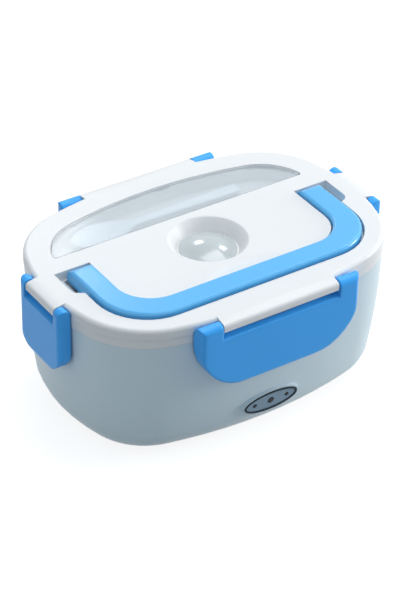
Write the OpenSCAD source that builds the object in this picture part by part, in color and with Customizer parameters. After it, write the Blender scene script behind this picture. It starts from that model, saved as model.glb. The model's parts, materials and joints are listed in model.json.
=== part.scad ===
// Electric lunch box: a heated base with a lift-out two-compartment food tray,
// a lid with a fold-down carrying handle, a steam vent and a window over a spoon
// bay, and four hinged latches that hold the lid down.
// Millimetres. X is the long side, -Y is the front, Z = 0 is the table.

/* [Lid outline] */
// Length of the lid over its two bowed ends
lid_l = 240; // [220:2:260]
// Width of the lid over its two bowed sides
lid_w = 170; // [160:2:184]
// Height of the lid's top above the table
lid_top = 108.5; // [104:0.5:116]
// Radius of the four plan corners
corner_r = 55.3; // [50:0.1:60]
// Radius of the long sides' bow
side_bow_r = 320; // [280:5:400]
// Radius of the short ends' bow
end_bow_r = 130; // [112:1:150]
// Depth of the lid's outer skirt
lid_skirt = 7.7; // [7.4:0.1:9]
// Rounding of the lid's top edge
lid_edge_r = 3; // [2:0.2:4]
// Wall of the lid moulding
lid_wall = 2; // [1.6:0.1:2.4]

/* [Base] */
// Height of the white band between lid and body
band_h = 6.4; // [5:0.2:8]
// How far the band is set in from the lid's side
band_inset = 0.5; // [0.3:0.1:0.8]
// How far the body's top is set in from the lid's side
body_inset = 0.9; // [0.7:0.1:1.4]
// How far the body draws in from its top to the bottom rounding
body_taper = 5; // [3:0.1:7]
// Radius of the bottom rounding
bottom_r = 21.3; // [16:0.1:24]
// Wall of the body
body_wall = 2.4; // [2:0.1:3]
// Height of the feet below the body
foot_h = 1.8; // [1:0.1:3]
// Radius of a foot
foot_r = 7; // [5:0.5:8]

/* [Tray and well] */
// Wall of the heated well
well_wall = 2; // [1.6:0.1:2.4]
// Height of the well's floor above the table
well_floor = 40; // [38:1:44]
// Wall of the food tray
tray_wall = 1.6; // [1.2:0.1:2]
// Distance of the divider from the tray's middle
divider_x = 34; // [10:1:50]
// Gap between the tray and the mouth of the well
tray_gap = 0.9; // [0.5:0.1:1.5]
// Radius of the heating plate
plate_r = 48; // [44:1:50]

/* [Handle] */
// Distance of the handle's arms from the lid's ends
handle_end = 21.5; // [20.5:0.5:28]
// Width of a handle arm
arm_w = 16.9; // [14:0.1:17.5]
// Distance of the handle's grip from the lid's front
handle_front = 21.4; // [20:0.2:25]
// Width of the grip
grip_w = 16.8; // [13:0.2:18]
// Outer corner radius of the handle
handle_r = 35.7; // [31:0.1:40]
// Inner corner radius of the handle
handle_inner_r = 25; // [18:1:28]
// Height of the handle above the lid's top
handle_rise = 3; // [1:0.2:4]
// Radius of the handle's pivot pins
pivot_r = 2.6; // [2:0.1:3]
// Running clearance of pins in their bores
pin_gap = 0.08; // [0.04:0.01:0.1]

/* [Latches] */
// Half length of the lid's long hinge bars
long_bar = 44.2; // [40:0.2:48]
// Half length of the lid's short hinge bars
short_bar = 17.3; // [14:0.5:20]
// Half width of a long latch
long_latch = 61; // [58:0.5:64]
// Half width of a short latch
short_latch = 25.4; // [24:0.2:28]
// Bottom corner radius of a long latch
long_latch_r = 36; // [24:1:38]
// Bottom corner radius of a short latch
short_latch_r = 17; // [10:1:19]
// How far a latch reaches below the lid's top
latch_drop = 52; // [48:0.5:54]
// Wall of a latch
latch_wall = 2.7; // [2.2:0.1:3]
// Radius of a latch pin
latch_pin_r = 1.6; // [1.3:0.1:1.8]

/* [Window and vent] */
// Distance of the window's straight edge from the lid's middle
window_y = 28.8; // [26:0.2:32]
// Width of the lid's rim around the window
window_rim = 18; // [17:0.5:22]
// Thickness of the window cover
window_t = 2; // [1.6:0.1:2.4]
// Top radius of the steam vent's recess
vent_r = 26.3; // [24:0.1:28]
// Radius of the vent's dome
dome_r = 19.4; // [16:0.2:20]
// Height of the vent's dome
dome_h = 5; // [4:0.2:6]
// Length of the spoon
spoon_l = 132; // [120:2:140]

/* [Indicator panel and inlet] */
// Half width of the oval panel
panel_a = 20.7; // [18:0.1:24]
// Half height of the oval panel
panel_b = 7.8; // [6:0.1:8.5]
// Height of the panel's middle above the table
panel_z = 25.2; // [22:0.2:28]
// Lean of the panel's face towards the table
panel_lean = 8; // [4:1:12]
// Height of the power inlet's middle above the table
inlet_z = 31; // [29:0.5:33]
// Distance between the two pins of the power inlet
inlet_pitch = 8.6; // [8:0.2:9]

/* [Hidden] */
$fn = 48;
eps = 0.01;

// --- plan outline: four bowed sides joined by tangent corners -----------------
half_l = lid_l / 2;
half_w = lid_w / 2;
handle_x = half_l - handle_end;
handle_y = half_w - handle_front;
end_c = [half_l - end_bow_r, 0];
side_c = [0, half_w - side_bow_r];

// Right-hand meeting point of a circle about p and a circle about q
function meet(p, rp, q, rq) =
    let (d = norm(q - p), t = (rp * rp - rq * rq + d * d) / (2 * d), u = (q - p) / d)
    p + t * u + sqrt(rp * rp - t * t) * [u[1], -u[0]];

corner_c = meet(side_c, side_bow_r - corner_r, end_c, end_bow_r - corner_r);
corner_a0 = atan2(corner_c[1], corner_c[0] - end_c[0]);
corner_a1 = atan2(corner_c[1] - side_c[1], corner_c[0]);

function arc(c, r, a0, a1, n) =
    [for (i = [0:n]) c + r * [cos(a0 + (a1 - a0) * i / n), sin(a0 + (a1 - a0) * i / n)]];
function tail(list) = [for (i = [1:len(list) - 1]) list[i]];

// A quarter of the outline, set in by a distance, from the end's middle to the side's middle
function quarter(inset) = concat(
    arc(end_c, end_bow_r - inset, 0, corner_a0, 3),
    tail(arc(corner_c, corner_r - inset, corner_a0, corner_a1, 10)),
    tail(arc(side_c, side_bow_r - inset, corner_a1, 90, 5)));

// The whole outline, set in by a distance (a negative inset grows it)
function outline(inset) =
    let (q = quarter(inset), n = len(q) - 1) concat(
        q,
        [for (i = [n - 1:-1:0]) [-q[i][0], q[i][1]]],
        [for (i = [1:n]) [-q[i][0], -q[i][1]]],
        [for (i = [n - 1:-1:1]) [q[i][0], -q[i][1]]]);

function level(points, z) = [for (p = points) [p[0], p[1], z]];

// Closed skin over rings with the same number of points, capped at both ends
module skin(rings) {
    n = len(rings[0]);
    m = len(rings);
    polyhedron(
        points = [for (r = rings) each r],
        faces = concat(
            [[for (i = [0:n - 1]) i]],
            [for (j = [0:m - 2]) for (i = [0:n - 1])
                [j * n + i, (j + 1) * n + i, (j + 1) * n + (i + 1) % n, j * n + (i + 1) % n]],
            [[for (i = [n - 1:-1:0]) (m - 1) * n + i]]),
        convexity = 6);
}

// Skin through outlines given as [inset, height] pairs
module loft(levels) {
    skin([for (l = levels) level(outline(l[0]), l[1])]);
}

module slab(inset, z0, z1) {
    translate([0, 0, z0])
        linear_extrude(height = z1 - z0)
            polygon(outline(inset));
}

// Places children drawn for the front (-Y) on one of the four sides
module on_side(turn) {
    rotate([0, 0, turn])
        children();
}

// Prism along X of a profile drawn in (distance to the front, height)
module side_prism(profile, half) {
    translate([-half, 0, 0])
        rotate([90, 0, 90])
            linear_extrude(height = 2 * half)
                polygon([for (p = profile) [-p[0], p[1]]]);
}

module x_rod(r, x0, x1, y, z) {
    translate([x0, y, z])
        rotate([0, 90, 0])
            cylinder(r = r, h = x1 - x0);
}

module mirror_x() {
    children();
    mirror([1, 0, 0])
        children();
}

module mirror_xy() {
    mirror_x()
        children();
    mirror([0, 1, 0])
        mirror_x()
            children();
}

// --- heights ------------------------------------------------------------------
skirt_z = lid_top - lid_skirt;
shell_top = skirt_z - band_h;
bottom_top = foot_h + bottom_r;
tray_seat = shell_top - 4;
flange_t = 1.6;
flange_top = tray_seat + flange_t;
seal_t = 1.6;
inner_floor = flange_top + seal_t;
inner_t = 1.6;
lid_deep = inner_floor + inner_t;
ceiling = lid_top - lid_wall;

// --- body ----------------------------------------------------------------------
body_curve = 2.07;

function body_in(z) =
    body_inset + body_taper * pow(max(0, shell_top - z) / (shell_top - bottom_top), body_curve);
function rounding(r, in0, a) = [in0 + r * (1 - cos(a)), bottom_top - r * sin(a)];

bottom_in = body_inset + body_taper;
shell_floor = foot_h + body_wall;
screw_x = 58;
screw_y = 44;
screw_boss_r = 5;
screw_boss_top = foot_h + 8;
screw_hole_r = 1.8;
screw_head_r = 3.1;
screw_head_h = 2.2;
screw_sink = 3.6;
screw_l = 12;
pilot_r = 1.35;
foot_x = 76;
foot_y = 34;
foot_sink = 0.8;
foot_socket_gap = 0.1;

catch_out = 0.7;
catch_z0 = lid_top - 19.2;
catch_z1 = lid_top - 17;
long_catch = 16;
short_catch = 10;

module catch_rib(half, turn) {
    intersection() {
        slab(-catch_out, catch_z0, catch_z1);
        on_side(turn)
            translate([-half, -half_l - 5, catch_z0])
                cube([2 * half, half_l, catch_z1 - catch_z0]);
    }
}

module shell_skin() {
    steps = 5;
    loft(concat(
        [for (a = [90:-15:0]) rounding(bottom_r, bottom_in, a)],
        [for (i = [1:steps]) let (z = bottom_top + (shell_top - bottom_top) * i / steps) [body_in(z), z]],
        [for (i = [3:-1:1])
            let (z = bottom_top + (shell_top - bottom_top) * i / 3) [body_in(z) + body_wall, z]],
        [for (a = [0:30:90]) rounding(bottom_r - body_wall, bottom_in + body_wall, a)]));
}

module outer_shell() {
    color("gainsboro")
        difference() {
            union() {
                shell_skin();
                difference() {
                    union() {
                        for (turn = [0, 180])
                            catch_rib(long_catch, turn);
                        for (turn = [90, 270])
                            catch_rib(short_catch, turn);
                    }
                    slab(body_inset + body_wall / 2, catch_z0 - 1, catch_z1 + 1);
                }
                panel_boss();
                inlet_pad();
                mirror_xy()
                    translate([screw_x, screw_y, foot_h + body_wall / 2])
                        cylinder(r = screw_boss_r, h = screw_boss_top - foot_h - body_wall / 2);
            }
            panel_pocket();
            inlet_cut();
            mirror_xy() {
                translate([screw_x, screw_y, foot_h - 1])
                    cylinder(r = screw_hole_r, h = screw_boss_top - foot_h + 2);
                translate([screw_x, screw_y, foot_h - 1])
                    cylinder(r = screw_head_r + 0.5, h = screw_sink + screw_head_h + 1);
                translate([foot_x, foot_y, foot_h - 1])
                    cylinder(r = foot_r + foot_socket_gap, h = foot_sink + 1);
            }
        }
}

module base_screws() {
    color("silver")
        mirror_xy()
            translate([screw_x, screw_y, foot_h + screw_sink]) {
                difference() {
                    cylinder(r = screw_head_r, h = screw_head_h);
                    translate([0, 0, -eps])
                        for (turn = [0, 90])
                            rotate([0, 0, turn])
                                translate([-1.8, -0.4, 0])
                                    cube([3.6, 0.8, 1]);
                }
                translate([0, 0, screw_head_h])
                    cylinder(r = pilot_r - 0.05, h = screw_l);
            }
}

module feet() {
    color("dimgray")
        mirror_xy()
            translate([foot_x, foot_y, 0])
                rotate_extrude()
                    polygon([[0, 0], [foot_r - 0.8, 0], [foot_r, 0.8], [foot_r, foot_h + foot_sink],
                        [0, foot_h + foot_sink]]);
}

// --- heated well -----------------------------------------------------------------
mouth_in = body_inset + body_wall + 0.2 + 2.2;
seat_in = mouth_in + tray_gap + 6.6;
well_in = seat_in + 3.4;
well_r = 11;
plug_in = mouth_in - 2.2;
plug_z = tray_seat - well_wall;
plate_t = 2;
plate_plug_r = plate_r - 6.4;
plate_plug_t = 3;
plate_gap = 0.3;
clamp_y = 47;
clamp_boss_r = 4;
clamp_boss_h = 4;
clamp_screw_l = 5;
clamp_screw_r = 1.05;
clamp_head_r = 2.6;
clamp_head_h = 1.6;

module heating_well() {
    floor_z = well_floor;
    color("whitesmoke")
        difference() {
            union() {
                loft([
                    [well_in + well_r, floor_z - well_wall],
                    [well_in + well_r * 0.29 - well_wall, floor_z + well_r * 0.29 - well_wall],
                    [well_in - well_wall, floor_z + well_r],
                    [seat_in - well_wall, plug_z],
                    [plug_in, plug_z],
                    [plug_in, shell_top],
                    [band_inset, shell_top],
                    [band_inset, skirt_z - 0.5],
                    [band_inset + 0.5, skirt_z],
                    [mouth_in - 0.4, skirt_z],
                    [mouth_in, skirt_z - 0.4],
                    [mouth_in, tray_seat],
                    [seat_in, tray_seat],
                    [well_in, floor_z + well_r],
                    [well_in + well_r * 0.29, floor_z + well_r * 0.29],
                    [well_in + well_r, floor_z]]);
                mirror_xy()
                    translate([screw_x, screw_y, screw_boss_top])
                        cylinder(r = 4, h = floor_z - screw_boss_top - well_wall / 2);
                for (side = [-1, 1])
                    translate([0, side * clamp_y, floor_z - well_wall - clamp_boss_h])
                        cylinder(r = clamp_boss_r, h = clamp_boss_h + well_wall / 2);
            }
            translate([0, 0, floor_z - well_wall - 1])
                cylinder(r = plate_plug_r + plate_gap, h = well_wall + 2);
            mirror_xy()
                translate([screw_x, screw_y, screw_boss_top - 1])
                    cylinder(r = pilot_r, h = screw_l);
            for (side = [-1, 1])
                translate([0, side * clamp_y, floor_z - well_wall - clamp_boss_h - 1])
                    cylinder(r = clamp_screw_r + 0.05, h = clamp_screw_l + 0.6);
        }
}

module heating_plate() {
    color("silver")
        rotate_extrude($fn = 96)
            polygon([[0, well_floor - plate_plug_t], [plate_plug_r, well_floor - plate_plug_t],
                [plate_plug_r, well_floor], [plate_r, well_floor], [plate_r, well_floor + plate_t - 0.6],
                [plate_r - 0.6, well_floor + plate_t], [0, well_floor + plate_t]]);
}

heater_l = 60;
heater_w = 24;
heater_t = 6;
heater_z = well_floor - plate_plug_t - heater_t;
clamp_t = 1.2;
clamp_w = 14;
clamp_slope = 8;
clamp_fold = 1;
clamp_toe = 6;
clamp_hole_r = 1.5;

module ptc_heater() {
    color("tan") {
        translate([-heater_l / 2, -heater_w / 2, heater_z])
            difference() {
                cube([heater_l, heater_w, heater_t]);
                for (y = [5.2, heater_w - 6])
                    translate([-1, y, heater_t / 2 - 1])
                        cube([heater_l + 2, 0.8, 2]);
            }
        for (side = [-1, 1])
            translate([side * (heater_l / 2 + 2.5) - 2.5, -3, heater_z + heater_t / 2 - 0.4])
                cube([5, 6, 0.8]);
    }
}

// Sprung steel strap that presses the heater against the plate
module heater_bracket() {
    foot_z = well_floor - well_wall - clamp_boss_h;
    bend_y = heater_w / 2 + 6;
    reach = clamp_y + clamp_toe;
    toe_y = bend_y + clamp_slope;
    low = heater_z - clamp_t;
    color("lightsteelblue")
        difference() {
            translate([-clamp_w / 2, 0, 0])
                rotate([90, 0, 90])
                    linear_extrude(height = clamp_w)
                        polygon([[-reach, foot_z - clamp_t], [-toe_y, foot_z - clamp_t], [-bend_y, low],
                            [bend_y, low], [toe_y, foot_z - clamp_t], [reach, foot_z - clamp_t],
                            [reach, foot_z], [toe_y - clamp_fold, foot_z],
                            [bend_y - clamp_fold, low + clamp_t], [-bend_y + clamp_fold, low + clamp_t],
                            [-toe_y + clamp_fold, foot_z], [-reach, foot_z]]);
            for (side = [-1, 1])
                translate([0, side * clamp_y, foot_z - 2 * clamp_t])
                    cylinder(r = clamp_hole_r, h = 3 * clamp_t);
        }
}

module bracket_screws() {
    color("silver")
        for (side = [-1, 1])
            translate([0, side * clamp_y, well_floor - well_wall - clamp_boss_h - clamp_t]) {
                translate([0, 0, -clamp_head_h])
                    cylinder(r = clamp_head_r, h = clamp_head_h);
                translate([0, 0, -eps])
                    cylinder(r = clamp_screw_r, h = clamp_screw_l);
            }
}

thermostat_x = 21;
thermostat_y = -24;
thermostat_h = 6;

module thermostat() {
    color("dimgray")
        translate([thermostat_x, thermostat_y, well_floor - plate_plug_t - thermostat_h]) {
            cylinder(r = 8, h = thermostat_h);
            for (side = [-1, 1])
                translate([side * 4 - 1.5, -12, 2])
                    cube([3, 6, 0.8]);
        }
}

module thermal_fuse() {
    color("firebrick")
        x_rod(2, -thermostat_x - 8, -thermostat_x + 8, thermostat_y, well_floor - plate_plug_t - 2);
}

// Point of a smooth curve between the second and third of four points
function between(p, t) = (2 * p[1] + (p[2] - p[0]) * t + (2 * p[0] - 5 * p[1] + 4 * p[2] - p[3]) * t * t
    + (3 * p[1] - p[0] - 3 * p[2] + p[3]) * t * t * t) / 2;
function smooth_path(p, n) = let (m = len(p) - 1) concat(
    [for (i = [0:m - 1]) for (k = [0:n - 1])
        between([p[max(i - 1, 0)], p[i], p[i + 1], p[min(i + 2, m)]], k / n)],
    [p[m]]);

// Round wire along a smooth curve through a list of points
module wire(points, r) {
    path = smooth_path(points, 3);
    m = len(path) - 1;
    skin([for (i = [0:m])
        let (run = path[min(i + 1, m)] - path[max(i - 1, 0)],
            side = cross(run, [0, 0, 1]) / norm(cross(run, [0, 0, 1])),
            up = cross(side, run) / norm(run))
        [for (a = [0:36:324]) path[i] + r * (cos(a) * side + sin(a) * up)]]);
}

lead_r = 0.9;

module heater_leads() {
    tag = [inlet_pitch / 2, inlet_back - tag_l - 0.3, inlet_z];
    tab = [heater_l / 2 + 3, 3, heater_z + heater_t / 2];
    color("crimson")
        mirror_x()
            wire([tag, tag + [0, -6, 0], tag + [9, -16, -4], [tab[0], 26, heater_z - 1], tab + [0, 8, 0], tab],
                lead_r);
}

// --- indicator panel ---------------------------------------------------------------
panel_out = half_w - body_in(panel_z) + 1.2;
boss_rim = 1.7;
panel_deep = 2;
bezel_w = 1.3;
lamp_x = 12.6;
lamp_r = 2.3;
side_lamp_r = 1.4;
board_t = 1.6;
boss_len = 9;

// Frame of the panel's face: +Z leaves the body, +Y points up
module at_panel() {
    translate([0, -panel_out, panel_z])
        rotate([90 + panel_lean, 0, 0])
            children();
}

module oval(a, b, z0, z1) {
    translate([0, 0, z0])
        linear_extrude(height = z1 - z0)
            polygon([for (t = [0:7.5:352.5]) [a * cos(t), b * sin(t)]]);
}

module panel_boss() {
    at_panel() {
        oval(panel_a + boss_rim, panel_b + boss_rim, -boss_len, -0.5);
        oval(panel_a + boss_rim - 0.5, panel_b + boss_rim - 0.5, -boss_len, 0);
    }
}

module panel_pocket() {
    at_panel() {
        oval(panel_a + 0.1, panel_b + 0.1, -panel_deep, 1);
        oval(panel_a - 0.5, panel_b - 0.5, -boss_len - 1, -panel_deep - 1.6);
        for (x = [-lamp_x, 0, lamp_x])
            translate([x, 0, -boss_len - 1])
                cylinder(r = (x == 0 ? lamp_r : side_lamp_r) + 0.3, h = boss_len + 2);
    }
}

module indicator_bezel() {
    color("darkslategray")
        at_panel()
            difference() {
                oval(panel_a, panel_b, -panel_deep, 0.5);
                oval(panel_a - bezel_w, panel_b - bezel_w, -panel_deep - 1, 1);
            }
}

module indicator_face() {
    color("slategray")
        at_panel()
            difference() {
                oval(panel_a - bezel_w - 0.05, panel_b - bezel_w - 0.05, -panel_deep, 0);
                for (x = [-lamp_x, 0, lamp_x])
                    translate([x, 0, -panel_deep - 1])
                        cylinder(r = (x == 0 ? lamp_r : side_lamp_r) + 0.1, h = panel_deep + 2);
            }
}

module indicator_lamps() {
    color("darkred")
        at_panel()
            for (x = [-lamp_x, 0, lamp_x])
                translate([x, 0, -boss_len])
                    cylinder(r = x == 0 ? lamp_r : side_lamp_r, h = boss_len + 0.2);
}

module indicator_board() {
    color("darkgreen")
        at_panel()
            translate([-panel_a + 1, -panel_b + 1, -boss_len - board_t])
                cube([2 * panel_a - 2, 2 * panel_b - 2, board_t]);
}

// --- power inlet ---------------------------------------------------------------------
inlet_w = 24;
inlet_h = 13;
inlet_depth = 18;
inlet_flange = 3;
inlet_flange_t = 1.6;
inlet_gap = 0.2;
inlet_out = half_w - body_in(inlet_z + inlet_h / 2) + 1.4;
inlet_back = inlet_out + inlet_flange_t - inlet_depth;
socket_r = 4.1;
socket_deep = 12;
inlet_pin_r = 1.2;
tag_l = 5;

// Rounded block along Y, centred on the inlet, between two distances from the middle
module inlet_block(w, h, r, y0, y1) {
    translate([0, y1, inlet_z])
        rotate([90, 0, 0])
            linear_extrude(height = y1 - y0)
                polygon(concat(
                    arc([w / 2 - r, h / 2 - r], r, 0, 90, 6),
                    arc([r - w / 2, h / 2 - r], r, 90, 180, 6),
                    arc([r - w / 2, r - h / 2], r, 180, 270, 6),
                    arc([w / 2 - r, r - h / 2], r, 270, 360, 6)));
}

module inlet_pad() {
    inlet_block(inlet_w + 2 * inlet_flange + 5, inlet_h + 2 * inlet_flange + 5, 5, inlet_out - 4, inlet_out);
}

module inlet_cut() {
    inlet_block(inlet_w + 2 * inlet_gap, inlet_h + 2 * inlet_gap, 3, inlet_out - 8, inlet_out + 1);
}

module power_inlet() {
    color("dimgray")
        difference() {
            union() {
                inlet_block(inlet_w, inlet_h, 3, inlet_back, inlet_out + eps);
                inlet_block(inlet_w + 2 * inlet_flange, inlet_h + 2 * inlet_flange, 4, inlet_out,
                    inlet_out + inlet_flange_t);
            }
            inlet_block(inlet_pitch + 2 * socket_r, 2 * socket_r, socket_r - eps,
                inlet_out + inlet_flange_t - socket_deep, inlet_out + inlet_flange_t + 1);
            for (side = [-1, 1])
                translate([side * inlet_pitch / 2, inlet_back - 1, inlet_z])
                    rotate([-90, 0, 0])
                        cylinder(r = inlet_pin_r, h = inlet_depth);
        }
}

module inlet_pins() {
    color("gold")
        for (side = [-1, 1])
            translate([side * inlet_pitch / 2, inlet_back - tag_l, inlet_z])
                rotate([-90, 0, 0])
                    cylinder(r = inlet_pin_r, h = inlet_depth + tag_l - 3);
}

// --- food tray -------------------------------------------------------------------------
tray_bottom = well_floor + plate_t + 0.5;
tray_floor = tray_bottom + tray_wall;
tray_mouth = seat_in + 0.6 + tray_wall;
tray_low = tray_mouth + 3;
tray_r = 9;
divider_t = 3;

module food_tray() {
    rise = tray_r * 0.29;
    color("whitesmoke") {
        loft([
            [tray_low + tray_r, tray_bottom],
            [tray_low + rise - tray_wall, tray_bottom + rise],
            [tray_low - tray_wall, tray_bottom + tray_r],
            [tray_mouth - tray_wall, tray_seat],
            [mouth_in + tray_gap, tray_seat],
            [mouth_in + tray_gap, flange_top],
            [tray_mouth, flange_top],
            [tray_low, tray_floor + tray_r],
            [tray_low + rise, tray_floor + rise],
            [tray_low + tray_r, tray_floor]]);
        intersection() {
            slab(tray_mouth - 0.6, tray_floor - tray_wall / 2, flange_top);
            side_prism([[half_w, tray_floor - tray_wall], [half_w, flange_top - 3], [-half_w, flange_top - 3],
                [-half_w, tray_floor - tray_wall]], half_l);
            loft([[tray_low + tray_r - 0.6, tray_floor - tray_wall / 2],
                [tray_low - 0.4, tray_floor + tray_r], [tray_mouth - 0.4, flange_top]]);
            translate([divider_x, 0, 0])
                rotate([90, 0, 0])
                    linear_extrude(height = lid_w, center = true)
                        polygon([[-divider_t, 0], [divider_t, 0], [divider_t, tray_floor],
                            [divider_t / 2, flange_top], [-divider_t / 2, flange_top], [-divider_t, tray_floor]]);
        }
    }
}

// --- lid ------------------------------------------------------------------------------
function below(d) = lid_top - d;

groove_out = 1.9;
groove_in = 1;
groove_deep = 7;
pivot_y = 5;
pivot_deep = 3.8;
heel_r = handle_rise + pivot_deep;
groove_end_y = pivot_y + heel_r + 1.9;
heel_deep = pivot_deep + heel_r + 0.6;
pocket_x = handle_x + 8.5;
pocket_y = -11;
pin_reach = 5.2;
scoop_r = 51;
scoop_y = -32.5;
scoop_deep = 6;
scoop_slope = 2.6;
vent_y = -3.4;
vent_deep = 8.5;
vent_floor_r = dome_r + 1.1;
stem_r = 3;
vent_lift = 3.2;
steam_ring = 7.6;
bay_deep = below(lid_deep) - lid_wall;
ledge = 2.6;
cover_gap = 0.35;
cover_front_gap = 0.6;
cover_sink = 0.2;
cover_axis_y = window_y + 2.6;
cover_axis_z = below(cover_sink + window_t / 2 + 0.4);
cover_pin_r = 1.1;
cover_pin_l = 2.6;
window_corner_r = 2;

// U-shaped plan of the handle or its groove, open to the back
function u_plan(x_out, x_in, y_out, y_in, r_out, r_in, y_back) = concat(
    [[x_out, y_back]],
    [[x_in, y_back]],
    arc([x_in - r_in, r_in - y_in], r_in, 0, -90, 8),
    arc([r_in - x_in, r_in - y_in], r_in, -90, -180, 8),
    [[-x_in, y_back]],
    [[-x_out, y_back]],
    arc([r_out - x_out, r_out - y_out], r_out, 180, 270, 10),
    arc([x_out - r_out, r_out - y_out], r_out, 270, 360, 10));

function groove_plan(grow) = u_plan(
    handle_x + groove_out + grow, handle_x - arm_w - groove_in - grow,
    handle_y + groove_out + grow, handle_y - grip_w - groove_in - grow,
    handle_r + groove_out + grow, handle_inner_r - groove_in - grow, groove_end_y + grow);

module groove_cut(grow) {
    translate([0, 0, below(groove_deep + grow)])
        linear_extrude(height = groove_deep + grow + 1)
            polygon(groove_plan(grow));
    mirror_x() {
        translate([handle_x - arm_w - groove_in - grow, pivot_y - heel_r - 0.8 - grow, below(heel_deep + grow)])
            cube([arm_w + groove_in + groove_out + 2 * grow, 2 * heel_r + 1.6 + 2 * grow, heel_deep + grow + 1]);
        pocket_cut(grow);
    }
}

module pocket_cut(grow) {
    translate([0, 0, below(groove_deep + grow)])
        linear_extrude(height = groove_deep + grow + 1)
            polygon(concat(
                [[handle_x, groove_end_y + grow], [handle_x, pocket_y - 4 - grow]],
                arc([pocket_x - 6, pocket_y + 4], 6 + grow, -60, 0, 5),
                [[pocket_x + grow, groove_end_y + grow]]));
}

module scoop_cut(grow) {
    centre_y = scoop_y - scoop_r;
    reach = scoop_r + grow + scoop_slope;
    intersection() {
        translate([0, centre_y, below(scoop_deep + grow)])
            cylinder(r1 = scoop_r + grow - (scoop_deep + grow) * scoop_slope,
                r2 = reach, h = scoop_deep + grow + 1, $fn = 96);
        translate([-reach, -handle_y + grip_w / 2, below(scoop_deep + grow) - 1])
            cube([2 * reach, reach, scoop_deep + grow + 3]);
    }
}

module vent_cut(grow) {
    translate([0, vent_y, 0])
        rotate_extrude($fn = 96)
            polygon([[0, below(vent_deep + grow)], [vent_floor_r + grow, below(vent_deep + grow)],
                [vent_r + grow, lid_top - 0.6], [vent_r + 1.2 + grow, lid_top], [vent_r + 1.2 + grow, lid_top + 1],
                [0, lid_top + 1]]);
}

// Plan of the window, set in from its edge in the lid
module window_plan(inset, front_inset) {
    offset(r = window_corner_r)
        offset(delta = -window_corner_r)
            intersection() {
                polygon(outline(window_rim + inset));
                translate([-half_l, window_y + front_inset])
                    square([lid_l, half_w]);
            }
}

module window_cut() {
    translate([0, 0, below(cover_sink + window_t)])
        linear_extrude(height = window_t + cover_sink + 1)
            window_plan(0, 0);
    translate([0, 0, below(bay_deep)])
        linear_extrude(height = bay_deep)
            window_plan(ledge, 0);
    cover_bores();
}

// Bores of the cover's pins, and the room its front edge needs to swing
module cover_bores() {
    half = cover_half_x + cover_pin_l + 0.4;
    swing = norm([cover_axis_y - window_y - cover_front_gap, lid_top - cover_sink - cover_axis_z]) + 0.4;
    x_rod(cover_pin_r + pin_gap, -half, half, cover_axis_y, cover_axis_z);
    intersection() {
        x_rod(swing, -cover_half_x - 8, cover_half_x + 8, cover_axis_y, cover_axis_z);
        linear_extrude(height = lid_top + 1)
            window_plan(0, 0);
    }
}

// --- latches and their hinge bars ---------------------------------------------------------
long_pin_out = 0.4;
short_pin_out = 2;
latch_pin_deep = 5.2;
pin_z = below(latch_pin_deep);
ear_r = 4.5;
bar_out = 3.9;
bar_r = 2.5;
latch_gap = 0.35;
ear_gap = 0.8;
lip_deep = 12.6;
lip_rise = 1.8;
latch_edge_r = 4;
latch_roll_r = 3.5;
latch_bow = 1.4;
pin_hold = 5;
bead_z0 = lid_top - 23;
bead_z1 = lid_top - 20;
bead_gap = 0.3;

// Hinge bar of the lid, drawn for the front; out is the distance of the pin's axis, and
// edge that of the lid's side
module hinge_bar(out, edge, half) {
    difference() {
        side_prism(concat(
            [[out - 12, skirt_z], [out - 12, lid_top], [edge - lid_edge_r, lid_top]],
            arc([out + bar_out - bar_r, pin_z + bar_out - bar_r], bar_r, 82, 0, 5),
            arc([out + bar_out - 1.4, skirt_z + 1.4], 1.4, 0, -90, 4)),
            half);
        mirror_x()
            x_rod(latch_pin_r + pin_gap, half - pin_hold - 0.4, half + 1, -out, pin_z);
    }
}

module latch_front_plan(half, r, drop) {
    bow_c = half - r;
    bow_r = (bow_c * bow_c + latch_bow * latch_bow) / (2 * latch_bow);
    sweep = asin(bow_c / bow_r);
    polygon(concat(
        [[half, lid_top + 2], [-half, lid_top + 2]],
        arc([r - half, below(drop - latch_bow - r)], r, 180, 270, 8),
        tail(arc([0, below(drop) + bow_r], bow_r, 270 - sweep, 270 + sweep, 6)),
        tail(arc([half - r, below(drop - latch_bow - r)], r, 270, 360, 8))));
}

// Solid outer form of a latch before it is hollowed
module latch_form(out, half, r) {
    face = out + ear_r;
    intersection() {
        translate([0, 20 - out, 0])
            rotate([90, 0, 0])
                linear_extrude(height = 40)
                    latch_front_plan(half, r, latch_drop);
        side_prism(concat(
            [[out - 20, below(latch_drop + 1)], [out - 20, pin_z - 0.6]],
            arc([out, pin_z], ear_r, 188, 0, 14),
            arc([face - latch_roll_r, below(latch_drop - latch_roll_r)], latch_roll_r, 0, -90, 8)),
            half + 1);
        translate([0, 0, below(latch_drop + 1)])
            linear_extrude(height = latch_drop + 4)
                polygon(concat(
                    [[half, 20 - out], [-half, 20 - out]],
                    arc([latch_edge_r - half, latch_edge_r - face], latch_edge_r, 180, 270, 5),
                    arc([half - latch_edge_r, latch_edge_r - face], latch_edge_r, 270, 360, 5)));
    }
}

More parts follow.
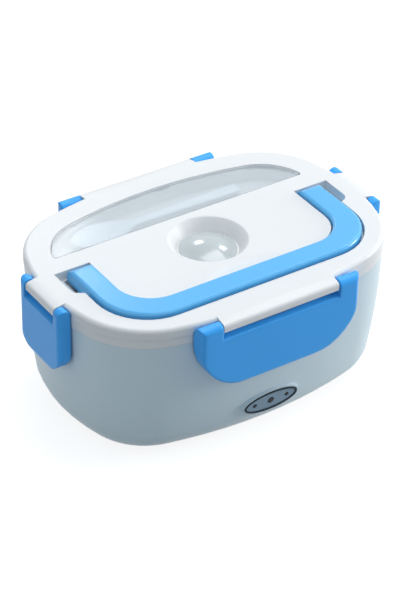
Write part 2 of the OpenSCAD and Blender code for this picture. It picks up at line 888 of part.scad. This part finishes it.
module latch_body(out, half, bar, r, catch_half) {
    face = out + ear_r;
    difference() {
        union() {
            difference() {
                latch_form(out, half, r);
                intersection() {
                    translate([0, 20 - out, 0])
                        rotate([90, 0, 0])
                            linear_extrude(height = 20 + ear_r - latch_wall)
                                latch_front_plan(half - latch_wall, r - latch_wall, latch_drop - latch_wall);
                    translate([-half, -face, below(latch_drop)])
                        cube([2 * half, 40, latch_drop - lip_deep - 1.4]);
                }
            }
            for (x = half > 2 * catch_half + 8 ? [-catch_half - 8, catch_half + 8] : [])
                translate([x - 0.8, -face + 1, below(latch_drop - 3)])
                    cube([1.6, 20, latch_drop - lip_deep - 3]);
            translate([1 - catch_half, -face + 1, bead_z0])
                cube([2 * catch_half - 2, 12, bead_z1 - bead_z0]);
        }
        // seat of the hinge bar between the two ears, with a sloped lip below it
        side_prism([[out - 21, lid_top + 3], [face + 1, lid_top + 3], [face + 1, below(lip_deep) - 0.7],
            [face, below(lip_deep)], [face - 4.2, below(lip_deep - lip_rise)], [out - 21, below(lip_deep - lip_rise)]],
            bar + ear_gap);
        x_rod(ear_r + 0.15, -bar - ear_gap, bar + ear_gap, -out, pin_z);
    }
    mirror_x()
        x_rod(latch_pin_r, bar - pin_hold, bar + ear_gap + 1, -out, pin_z);
}

module latch(out, half, bar, r, catch_half, turn) {
    color("dodgerblue")
        difference() {
            on_side(turn)
                latch_body(out, half, bar, r, catch_half);
            slab(-latch_gap, below(latch_drop + 2), below(-3));
            intersection() {
                slab(-catch_out - bead_gap, below(latch_drop + 2), bead_z1 + 2);
                on_side(turn)
                    translate([-catch_half - 1, -half_l - 10, below(latch_drop + 2)])
                        cube([2 * catch_half + 2, half_l, latch_drop]);
            }
        }
}

module latch_front() {
    latch(half_w + long_pin_out, long_latch, long_bar, long_latch_r, long_catch, 0);
}

module latch_back() {
    latch(half_w + long_pin_out, long_latch, long_bar, long_latch_r, long_catch, 180);
}

module latch_left() {
    latch(half_l + short_pin_out, short_latch, short_bar, short_latch_r, short_catch, 270);
}

module latch_right() {
    latch(half_l + short_pin_out, short_latch, short_bar, short_latch_r, short_catch, 90);
}

module ear_pockets(out, half, bar) {
    mirror_x()
        x_rod(ear_r + 0.4, bar, half + 0.8, -out, pin_z);
}

module lid_skin() {
    loft(concat(
        [[lid_wall, ceiling], [lid_wall, skirt_z], [0, skirt_z], [0, below(lid_edge_r)]],
        [for (a = [22.5:22.5:90]) [lid_edge_r * (1 - cos(a)), below(lid_edge_r * (1 - sin(a)))]]));
}

rib_in = mouth_in + 0.4;

module lid_shell() {
    long_out = half_w + long_pin_out;
    short_out = half_l + short_pin_out;
    color("white")
        difference() {
            union() {
                lid_skin();
                intersection() {
                    union() {
                        groove_cut(lid_wall);
                        scoop_cut(lid_wall);
                        vent_cut(lid_wall);
                        translate([0, 0, below(bay_deep + lid_wall)])
                            linear_extrude(height = bay_deep + lid_wall)
                                window_plan(ledge - lid_wall, -lid_wall);
                        mirror_x()
                            translate([cover_half_x - 4, cover_axis_y - 4, below(5)])
                                cube([8, 8, 5]);
                    }
                    slab(lid_wall + eps, lid_deep, lid_top - lid_wall / 2);
                }
                difference() {
                    union() {
                        for (turn = [0, 180])
                            on_side(turn)
                                hinge_bar(long_out, half_w, long_bar);
                        for (turn = [90, 270])
                            on_side(turn)
                                hinge_bar(short_out, half_l, short_bar);
                    }
                    slab(lid_wall, skirt_z - 1, ceiling);
                }
            }
            difference() {
                groove_cut(0);
                mirror_x()
                    x_rod(pivot_r, 0, handle_x - arm_w + pin_reach, pivot_y, below(pivot_deep));
            }
            scoop_cut(0);
            vent_cut(0);
            translate([0, vent_y, lid_deep - 1]) {
                cylinder(r = stem_r + pin_gap, h = lid_deep);
                for (turn = [0:60:300])
                    rotate([0, 0, turn])
                        translate([steam_ring, 0, 0])
                            cylinder(r = 1.2, h = lid_deep);
            }
            window_cut();
            for (turn = [0, 180])
                on_side(turn)
                    ear_pockets(long_out, long_latch, long_bar);
            for (turn = [90, 270])
                on_side(turn)
                    ear_pockets(short_out, short_latch, short_bar);
        }
}

// Inner cover that closes the lid's underside and carries the seal
module lid_inner() {
    color("whitesmoke")
        difference() {
            union() {
                difference() {
                    slab(rib_in, inner_floor, ceiling);
                    slab(rib_in + inner_t, lid_deep, ceiling + 1);
                }
                translate([0, vent_y, inner_floor + inner_t / 2])
                    cylinder(r = steam_ring + 4, h = below(vent_deep + lid_wall) - inner_floor - inner_t / 2);
            }
            translate([0, vent_y, inner_floor - 1])
                cylinder(r = steam_ring + 2.4, h = lid_top - inner_floor);
        }
}

module lid_seal() {
    color("lightgray")
        difference() {
            slab(mouth_in + tray_gap + 0.4, flange_top, inner_floor);
            slab(mouth_in + tray_gap + 5.4, flange_top - 1, inner_floor + 1);
        }
}

// --- handle, vent, window and spoon ----------------------------------------------------------
handle_edge_r = 2.6;

handle_ends = [handle_x, handle_x - arm_w];

// Outer (side 0) or inner (side 1) edge of the handle's plan, from its right end to its left end
function handle_edge(side, inset) =
    let (x = handle_ends[side] + (side == 0 ? -inset : inset),
        y = (side == 0 ? handle_y - inset : handle_y - grip_w + inset),
        r = (side == 0 ? handle_r - inset : handle_inner_r + inset))
    concat([[x, pivot_y + heel_r + 1]], arc([x - r, r - y], r, 0, -90, 10),
        arc([r - x, r - y], r, -90, -180, 10), [[-x, pivot_y + heel_r + 1]]);

// The handle's bar, swept along its plan with a rounded top
module handle_bar(top, low) {
    rise = [for (a = [0:22.5:90]) [handle_edge_r * (1 - cos(a)), top - handle_edge_r * (1 - sin(a))]];
    outer = [for (p = concat([[0, low]], rise)) level(handle_edge(0, p[0]), p[1])];
    inner = [for (i = [len(rise) - 1:-1:0]) level(handle_edge(1, rise[i][0]), rise[i][1])];
    under = [level(handle_edge(1, 0), low)];
    rows = concat(outer, inner, under);
    skin([for (k = [0:len(outer[0]) - 1]) [for (row = rows) row[k]]]);
}

module handle() {
    top = lid_top + handle_rise;
    low = below(groove_deep);
    color("deepskyblue")
        difference() {
            intersection() {
                handle_bar(top, low);
                union() {
                    side_prism([[handle_y + 2, low - 1], [-pivot_y, low - 1], [-pivot_y, top + 1],
                        [handle_y + 2, top + 1]], handle_x + 1);
                    x_rod(heel_r, -handle_x - 1, handle_x + 1, pivot_y, below(pivot_deep));
                }
            }
            mirror_x()
                x_rod(pivot_r + pin_gap, 0, handle_x - arm_w + pin_reach + 0.4, pivot_y, below(pivot_deep));
            translate([0, 0, low - 1])
                linear_extrude(height = groove_deep)
                    polygon(u_plan(handle_x - 2.4, handle_x - arm_w + 2.4, handle_y - 2.4,
                        handle_y - grip_w + 2.4, handle_r - 2.4, handle_inner_r + 2.4, pivot_y - heel_r - 2));
        }
}

// Soft dome on a stem with a retaining head below the lid
module vent_valve() {
    dome_round = (dome_r * dome_r + dome_h * dome_h) / (2 * dome_h);
    seat = below(vent_deep);
    half_sweep = asin(dome_r / dome_round);
    under = below(vent_deep + lid_wall) - vent_lift - 2.2;
    color("gainsboro")
        translate([0, vent_y, 0])
            rotate_extrude($fn = 72)
                polygon(concat(
                    [[0, under], [2.4, under], [stem_r + 0.8, under + 1.2], [stem_r + 0.8, under + 1.8],
                        [stem_r, under + 1.8],
                        [stem_r, seat], [dome_r, seat], [dome_r, seat + 0.8]],
                    tail(arc([0, seat + 0.8 + dome_h - dome_round], dome_round, 90 - half_sweep, 90, 9))));
}

// Half length of the cover at its pins, where its corner starts to round off
cover_half_x = end_c[0] + sqrt(pow(end_bow_r - window_rim, 2) - pow(cover_axis_y, 2)) - cover_gap
    - window_corner_r + sqrt(pow(window_corner_r, 2) - pow(window_corner_r - cover_axis_y + window_y, 2));

module window_cover() {
    color("lightblue", 0.6) {
        translate([0, 0, below(cover_sink + window_t)])
            linear_extrude(height = window_t)
                window_plan(cover_gap, cover_front_gap);
        mirror_x()
            x_rod(cover_pin_r, cover_half_x - 4, cover_half_x + cover_pin_l, cover_axis_y, cover_axis_z);
    }
}

bowl_l = 44;
bowl_w = 25;
bowl_sag = 4.4;
stalk_w = 8;
spoon_t = 1.2;
spoon_y = window_y + 17;
spoon_tip_x = 46 - half_l;

// Half width of the spoon at a distance from its tip
function spoon_half(s) = s < bowl_l
    ? max(stalk_w * 0.375, bowl_w / 2 * pow(sin(180 * pow(s / (bowl_l * 1.06), 0.85)), 0.6))
    : stalk_w / 2 * (0.75 + 0.45 * (s - bowl_l) / (spoon_l - bowl_l));
// Sag of the spoon's middle below its edge at a distance from its tip
function spoon_sag(s) = 0.4 + (s < bowl_l
    ? (bowl_sag - 0.4) * pow(sin(180 * s / bowl_l), 0.8)
    : 0.5 * sin(180 * (s - bowl_l) / (spoon_l - bowl_l)));

module spoon() {
    stations = 22;
    across = 6;
    rest = below(bay_deep) + 0.1;
    color("aliceblue")
        skin([for (k = [0:stations])
            let (s = spoon_l * k / stations, half = spoon_half(s), sag = spoon_sag(s))
            concat(
                [for (i = [0:across]) let (v = 2 * i / across - 1)
                    [s + spoon_tip_x, spoon_y + half * v, rest + bowl_sag - sag * (1 - v * v)]],
                [for (i = [across:-1:0]) let (v = 2 * i / across - 1)
                    [s + spoon_tip_x, spoon_y + half * v, rest + bowl_sag + spoon_t - sag * (1 - v * v)]])]);
}

outer_shell();
heating_well();
heating_plate();
ptc_heater();
heater_bracket();
bracket_screws();
thermostat();
thermal_fuse();
heater_leads();
indicator_board();
indicator_lamps();
indicator_face();
indicator_bezel();
power_inlet();
inlet_pins();
base_screws();
feet();
food_tray();
lid_shell();
lid_inner();
lid_seal();
latch_front();
latch_back();
latch_left();
latch_right();
handle();
vent_valve();
window_cover();
spoon();
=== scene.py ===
import json
import math

import bpy
import numpy as np
from mathutils import Matrix, Vector

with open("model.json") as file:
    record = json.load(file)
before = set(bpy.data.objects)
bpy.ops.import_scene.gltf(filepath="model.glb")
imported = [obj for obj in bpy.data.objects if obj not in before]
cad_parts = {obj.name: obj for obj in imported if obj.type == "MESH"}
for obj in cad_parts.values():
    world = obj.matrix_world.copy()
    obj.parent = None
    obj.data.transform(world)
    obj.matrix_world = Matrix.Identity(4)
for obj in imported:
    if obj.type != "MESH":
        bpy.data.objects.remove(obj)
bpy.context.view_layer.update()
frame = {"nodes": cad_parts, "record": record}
NODES = frame["nodes"]
SCENE = bpy.context.scene

# Sockets of a Mix node that mixes colours
MIX_FACTOR, MIX_A, MIX_B, MIX_RESULT = 0, 6, 7, 2


# --- colours and node helpers ---------------------------------------------------
def linear(r, g, b):
    """Linear colour of an 8-bit screen colour."""
    out = []
    for value in (r, g, b):
        v = value / 255
        out.append(v / 12.92 if v <= 0.04045 else ((v + 0.055) / 1.055) ** 2.4)
    return (*out, 1)


def shade(color, factor):
    """The same colour, darker or lighter."""
    return (color[0] * factor, color[1] * factor, color[2] * factor, 1)


class Maker:
    """Builds one material's node tree."""

    BEVEL_SAMPLES = 8

    def __init__(self, name):
        self.mat = bpy.data.materials.new(name)
        self.mat.use_nodes = True
        self.tree = self.mat.node_tree
        self.tree.nodes.clear()
        self.out = self.add("ShaderNodeOutputMaterial")
        self.shader = self.add("ShaderNodeBsdfPrincipled")
        self.link(self.shader, "BSDF", self.out, "Surface")
        self.coords = self.add("ShaderNodeTexCoord")

    def add(self, kind, **sockets):
        """New node, with constants on the sockets that are named."""
        node = self.tree.nodes.new(kind)
        for key, value in sockets.items():
            node.inputs[key.replace("_", " ")].default_value = value
        return node

    def link(self, a, out, b, into):
        self.tree.links.new(a.outputs[out], b.inputs[into])

    def set(self, **values):
        """Constants on the shader's own sockets."""
        for key, value in values.items():
            self.shader.inputs[key.replace("_", " ")].default_value = value

    def noise(self, scale, detail, rough=0.5, stretch=(1, 1, 1)):
        """Noise with a number of features per metre."""
        mapping = self.add("ShaderNodeMapping", Scale=stretch)
        self.link(self.coords, "Object", mapping, "Vector")
        node = self.add("ShaderNodeTexNoise", Scale=scale, Detail=detail, Roughness=rough)
        self.link(mapping, "Vector", node, "Vector")
        return node

    def ramp(self, texture, span, values):
        """Stretches a span of a texture's range to the values given."""
        node = self.add("ShaderNodeMapRange", From_Min=span[0], From_Max=span[1],
                        To_Min=values[0], To_Max=values[1])
        self.link(texture, "Fac", node, "Value")
        return node

    def tone(self, texture, span, color, shades):
        """Base colour that a texture varies between two shades."""
        node = self.add("ShaderNodeMix")
        node.data_type = "RGBA"
        self.link(self.ramp(texture, span, (0, 1)), "Result", node, MIX_FACTOR)
        node.inputs[MIX_A].default_value = shade(color, shades[0])
        node.inputs[MIX_B].default_value = shade(color, shades[1])
        self.link(node, MIX_RESULT, self.shader, "Base Color")

    def gloss(self, texture, span, rough):
        """Roughness that a texture varies between two values."""
        self.link(self.ramp(texture, span, rough), "Result", self.shader, "Roughness")

    def relief(self, bevel, *layers):
        """Edges rounded within a radius, under bumps (texture, height in metres)."""
        last = self.add("ShaderNodeBevel", Radius=bevel)
        last.samples = self.BEVEL_SAMPLES
        for texture, height in layers:
            bump = self.add("ShaderNodeBump", Strength=1.0, Distance=height)
            self.link(texture, "Fac", bump, "Height")
            self.link(last, "Normal", bump, "Normal")
            last = bump
        self.link(last, "Normal", self.shader, "Normal")


# --- finishes ---------------------------------------------------------------------
# Features per metre of each texture
CLOUDS = 30
ORANGE_PEEL = 140
UNEVEN_GLOSS = 300
MOULD_GRAIN = 2200
BRUSH_LINES = 60
RUBBER_PEEL = 220
RUBBER_SPECK = 700

# Middle part of a noise's range, which a ramp stretches to the whole
MIDDLE = (0.3, 0.7)

# Brushed lines run along the axis that isn't stretched
BRUSHED_X = (1, 60, 60)
BRUSHED_Y = (60, 1, 60)


def plastic(name, color, rough, peel=1e-6, grain=2e-7, bevel=0.0006, **extra):
    """Moulded plastic: mottled pigment, uneven gloss, orange peel and fine mould grain."""
    m = Maker(name)
    m.tone(m.noise(CLOUDS, 4), MIDDLE, color, (0.99, 1.01))
    m.gloss(m.noise(UNEVEN_GLOSS, 2, 0.6), MIDDLE, rough)
    m.relief(bevel, (m.noise(ORANGE_PEEL, 2), peel), (m.noise(MOULD_GRAIN, 2), grain))
    m.set(**extra)
    return m.mat


def metal(name, color, rough=(0.2, 0.34), stretch=BRUSHED_X, height=2e-6, bevel=0.0003):
    """Metal with brushed lines along one direction."""
    m = Maker(name)
    lines = m.noise(BRUSH_LINES, 5, 0.7, stretch)
    m.tone(lines, MIDDLE, color, (0.9, 1.05))
    m.gloss(lines, (0.25, 0.75), rough)
    m.relief(bevel, (lines, height))
    m.set(Metallic=1.0)
    return m.mat


def rubber(name, color, rough=(0.5, 0.68), grain=3e-6, bevel=0.0005, **extra):
    """Soft moulded rubber or baked ceramic: speckled, with a soft grain."""
    m = Maker(name)
    speck = m.noise(RUBBER_SPECK, 4, 0.7)
    m.tone(speck, (0.35, 0.75), color, (0.96, 1.03))
    m.gloss(speck, MIDDLE, rough)
    m.relief(bevel, (m.noise(RUBBER_PEEL, 3), grain * 1.5), (speck, grain))
    m.set(**extra)
    return m.mat


# Material slot: finish, screen colour and what differs from the finish's usual look
FINISHES = {
    "white_plastic": (plastic, (231, 231, 231), dict(
        rough=(0.36, 0.4), Specular_IOR_Level=0.4)),
    "body_plastic": (plastic, (209, 225, 232), dict(
        rough=(0.38, 0.42), Specular_IOR_Level=0.4)),
    "tray_plastic": (plastic, (236, 238, 236), dict(
        rough=(0.34, 0.48), grain=1e-6)),
    "blue_plastic": (plastic, (66, 173, 252), dict(
        rough=(0.32, 0.36), grain=1e-7, bevel=0.0022, Specular_IOR_Level=0.25)),
    "light_blue_plastic": (plastic, (96, 186, 244), dict(
        rough=(0.19, 0.22), peel=5e-7, grain=6e-8, bevel=0.0005, Specular_IOR_Level=0.4)),
    "clear_plastic": (plastic, (238, 246, 251), dict(
        rough=(0.1, 0.13), grain=5e-8, Alpha=0.3)),
    "vent_silicone": (rubber, (192, 200, 202), dict(
        rough=(0.16, 0.22), grain=8e-8, Coat_Weight=0.4, Coat_Roughness=0.05)),
    "seal_rubber": (rubber, (222, 226, 228), {}),
    "foot_rubber": (rubber, (52, 54, 58), {}),
    "dark_plastic": (plastic, (30, 46, 58), dict(
        rough=(0.4, 0.46), Specular_IOR_Level=0.15)),
    "panel_grey": (plastic, (136, 160, 178), dict(
        rough=(0.36, 0.42), Specular_IOR_Level=0.2)),
    "lamp_smoked": (plastic, (12, 18, 28), dict(
        rough=(0.3, 0.36), Specular_IOR_Level=0.2)),
    "spoon_plastic": (plastic, (234, 240, 244), dict(rough=(0.22, 0.3))),
    "aluminium_plate": (metal, (205, 206, 208), {}),
    "steel": (metal, (200, 202, 205), dict(rough=(0.14, 0.24))),
    "ceramic_heater": (rubber, (196, 172, 128), dict(rough=(0.3, 0.5))),
    "fuse_red": (rubber, (150, 60, 48), {}),
    "lead_insulation": (rubber, (176, 46, 40), {}),
    "board_green": (plastic, (34, 96, 58), dict(rough=(0.3, 0.44))),
    "brass_pin": (metal, (214, 180, 106), dict(stretch=BRUSHED_Y)),
}
MATERIALS = {
    slot: finish(slot, linear(*color), **look)
    for slot, (finish, color, look) in FINISHES.items()
}


# --- CAD nodes: finish and smooth shading -----------------------------------------
WELD_GAP = 2e-6  # metres within which two corners are one point
SLIVER_AREA = 1e-14  # square metres below which a face has no say
TINY = 1e-18  # keeps a division away from zero
FLAT_ANGLE = 0.4  # degrees between neighbours of one flat patch
SMOOTH_ANGLE = 32  # degrees up to which an edge is shaded smooth
HANDLE_SMOOTH_ANGLE = 15  # the same on the handle, whose edges are crisper


def welded(mesh):
    """Each face's corners, their ids as shared points, its normal and its area."""
    co = np.empty(len(mesh.vertices) * 3)
    mesh.vertices.foreach_get("co", co)
    co = co.reshape(-1, 3)
    cells = np.round(co / WELD_GAP).astype(np.int64)
    key = np.unique(cells, axis=0, return_inverse=True)[1].reshape(-1)
    tri = np.empty(len(mesh.loops), np.int32)
    mesh.loops.foreach_get("vertex_index", tri)
    tri = tri.reshape(-1, 3)
    p = co[tri]
    cross = np.cross(p[:, 1] - p[:, 0], p[:, 2] - p[:, 0])
    area = np.linalg.norm(cross, axis=1)
    return p, key[tri], cross / np.maximum(area, TINY)[:, None], area


def flat_areas(spot, normal, area):
    """For each face the area of the flat patch that it is part of."""
    count = len(spot)
    edges = np.sort(np.stack([spot, np.roll(spot, -1, axis=1)], axis=2).reshape(-1, 2), axis=1)
    owner = np.repeat(np.arange(count), 3)
    order = np.lexsort((edges[:, 1], edges[:, 0]))
    edges, owner = edges[order], owner[order]
    same = (edges[1:] == edges[:-1]).all(axis=1)
    a, b = owner[:-1][same], owner[1:][same]
    level = (normal[a] * normal[b]).sum(1) > math.cos(math.radians(FLAT_ANGLE))
    a, b = a[level], b[level]
    label = np.arange(count)
    while True:
        low = np.minimum(label[a], label[b])
        new = label.copy()
        np.minimum.at(new, a, low)
        np.minimum.at(new, b, low)
        new = new[new]
        if (new == label).all():
            break
        label = new
    total = np.zeros(count)
    np.add.at(total, label, area)
    return total[label]


def corner_angles(p):
    """The angle of each face at each of its corners."""
    angles = np.empty(p.shape[:2])
    for i in range(3):
        a = p[:, (i + 1) % 3] - p[:, i]
        b = p[:, (i + 2) % 3] - p[:, i]
        lengths = np.linalg.norm(a, axis=1) * np.linalg.norm(b, axis=1)
        d = (a * b).sum(1) / np.maximum(lengths, TINY)
        angles[:, i] = np.arccos(np.clip(d, -1, 1))
    return angles


def smooth_normals(obj, limit):
    """Smooth shading within an angle, led by the larger flats, vertices left as they are."""
    mesh = obj.data
    p, spot, normal, area = welded(mesh)
    weight = corner_angles(p)
    weight *= (flat_areas(spot, normal, area) * (area > SLIVER_AREA))[:, None]
    weight = weight.reshape(-1)
    owner = np.repeat(np.arange(len(spot)), 3)
    spot = spot.reshape(-1)
    order = np.argsort(spot, kind="stable")
    starts = np.flatnonzero(np.diff(np.r_[-1, spot[order]]))
    ends = np.r_[starts[1:], len(order)]
    result = np.zeros((len(spot), 3))
    cos_limit = math.cos(math.radians(limit))
    for s, e in zip(starts, ends):
        group = order[s:e]
        n = normal[owner[group]]
        near = (n @ n.T) > cos_limit
        result[group] = near @ (n * weight[group][:, None])
    length = np.linalg.norm(result, axis=1)
    bad = length < TINY
    result[bad] = normal[owner[bad]]
    length[bad] = 1
    result /= length[:, None]
    mesh.polygons.foreach_set("use_smooth", np.ones(len(mesh.polygons), bool))
    mesh.normals_split_custom_set(result.tolist())


SLOT_OF = {s["node"]: s["material_slot"] for s in frame["record"]["subparts"]}
for name, obj in NODES.items():
    obj.data.materials.clear()
    obj.data.materials.append(MATERIALS[SLOT_OF[name]])
    smooth_normals(obj, HANDLE_SMOOTH_ANGLE if name == "handle" else SMOOTH_ANGLE)


# --- camera -----------------------------------------------------------------------
CAMERA_AZIMUTH = math.radians(-33.84841)  # from the front, negative to the left
CAMERA_ELEVATION = math.radians(35.29567)
CAMERA_ROLL = math.radians(1.10656)
CAMERA_DISTANCE = 1.58
CAMERA_TARGET = (-0.001134, 0.002518, 0.055291)
CAMERA_LENS = 141.232
CAMERA_SENSOR = 36

camera = bpy.data.objects.new("camera", bpy.data.cameras.new("camera"))
SCENE.collection.objects.link(camera)
camera.data.sensor_width = CAMERA_SENSOR
camera.data.lens = CAMERA_LENS
camera.data.clip_start = 0.05
camera.data.clip_end = 40
camera.matrix_world = (
    Matrix.Translation(CAMERA_TARGET)
    @ Matrix.Rotation(CAMERA_AZIMUTH, 4, "Z")
    @ Matrix.Rotation(math.pi / 2 - CAMERA_ELEVATION, 4, "X")
    @ Matrix.Rotation(CAMERA_ROLL, 4, "Z")
    @ Matrix.Translation((0, 0, CAMERA_DISTANCE))
)
SCENE.camera = camera


# --- floor and studio light ---------------------------------------------------------
FLOOR_REACH = 12
FLOOR_GREY = 0.4
FLOOR_GLOW = 0.82
WORLD_TINT = (0.74, 0.89, 1, 1)
WORLD_FILL = 0.45
WORLD_SEEN = 1.0
LAMP_WHITE = (1, 1, 1)

# Name, place, height that it is aimed at, side, watts and colour
LAMPS = (
    ("key", (0.5, 0.05, 1.75), 0.05, 1.1, 17, (1, 0.98, 0.97)),
    ("back", (0.59, 1.47, 1.1), 0.1, 0.3, 3, LAMP_WHITE),
    ("back_right", (1.2, 0.72, 1.35), 0.1, 0.3, 3, LAMP_WHITE),
    ("right", (1.75, -0.65, 0.4), 0.05, 0.7, 18, LAMP_WHITE),
    ("left", (-1.7, 0.1, 0.5), 0.05, 0.7, 2, LAMP_WHITE),
)


def seen_directly(tree):
    """1 for a camera, glossy or transmission ray, and 0 for light that falls on the part."""
    path = tree.nodes.new("ShaderNodeLightPath")
    total = path.outputs["Is Camera Ray"]
    for ray in ("Is Glossy Ray", "Is Transmission Ray"):
        either = tree.nodes.new("ShaderNodeMath")
        either.operation = "MAXIMUM"
        tree.links.new(total, either.inputs[0])
        tree.links.new(path.outputs[ray], either.inputs[1])
        total = either.outputs[0]
    return total


def floor_material():
    """Grey floor that looks white, so that little of its light reaches the part."""
    mat = bpy.data.materials.new("floor")
    mat.use_nodes = True
    tree = mat.node_tree
    tree.nodes.clear()
    out = tree.nodes.new("ShaderNodeOutputMaterial")
    both = tree.nodes.new("ShaderNodeAddShader")
    diffuse = tree.nodes.new("ShaderNodeBsdfDiffuse")
    diffuse.inputs["Color"].default_value = (FLOOR_GREY, FLOOR_GREY, FLOOR_GREY, 1)
    glow = tree.nodes.new("ShaderNodeEmission")
    scale = tree.nodes.new("ShaderNodeMath")
    scale.operation = "MULTIPLY"
    scale.inputs[1].default_value = FLOOR_GLOW
    tree.links.new(seen_directly(tree), scale.inputs[0])
    tree.links.new(scale.outputs[0], glow.inputs["Strength"])
    tree.links.new(diffuse.outputs[0], both.inputs[0])
    tree.links.new(glow.outputs[0], both.inputs[1])
    tree.links.new(both.outputs[0], out.inputs["Surface"])
    return mat


def make_floor():
    """Level square at Z = 0, under the part's feet."""
    mesh = bpy.data.meshes.new("floor")
    around = ((-1, -1), (1, -1), (1, 1), (-1, 1))
    corners = [(x * FLOOR_REACH, y * FLOOR_REACH, 0) for x, y in around]
    mesh.from_pydata(corners, [], [(0, 1, 2, 3)])
    mesh.materials.append(floor_material())
    floor = bpy.data.objects.new("floor", mesh)
    SCENE.collection.objects.link(floor)
    return floor


def make_world():
    """White where it is seen, and a fainter, slightly blue fill where it lights the part."""
    world = bpy.data.worlds.new("studio")
    SCENE.world = world
    world.use_nodes = True
    tree = world.node_tree
    background = tree.nodes["Background"]
    seen = seen_directly(tree)
    color = tree.nodes.new("ShaderNodeMix")
    color.data_type = "RGBA"
    color.inputs[MIX_A].default_value = WORLD_TINT
    color.inputs[MIX_B].default_value = (1, 1, 1, 1)
    tree.links.new(seen, color.inputs[MIX_FACTOR])
    tree.links.new(color.outputs[MIX_RESULT], background.inputs["Color"])
    strength = tree.nodes.new("ShaderNodeMapRange")
    strength.inputs["To Min"].default_value = WORLD_FILL
    strength.inputs["To Max"].default_value = WORLD_SEEN
    tree.links.new(seen, strength.inputs["Value"])
    tree.links.new(strength.outputs["Result"], background.inputs["Strength"])


def area_light(name, at, aim_height, side, watts, color):
    data = bpy.data.lights.new(name, "AREA")
    data.shape = "SQUARE"
    data.size = side
    data.energy = watts
    data.color = color
    lamp = bpy.data.objects.new(name, data)
    SCENE.collection.objects.link(lamp)
    aim = Vector((0, 0, aim_height)) - Vector(at)
    turn = aim.to_track_quat("-Z", "Y").to_matrix().to_4x4()
    lamp.matrix_world = Matrix.Translation(at) @ turn


floor = make_floor()
make_world()
for lamp in LAMPS:
    area_light(*lamp)

SCENE.view_settings.view_transform = "Standard"
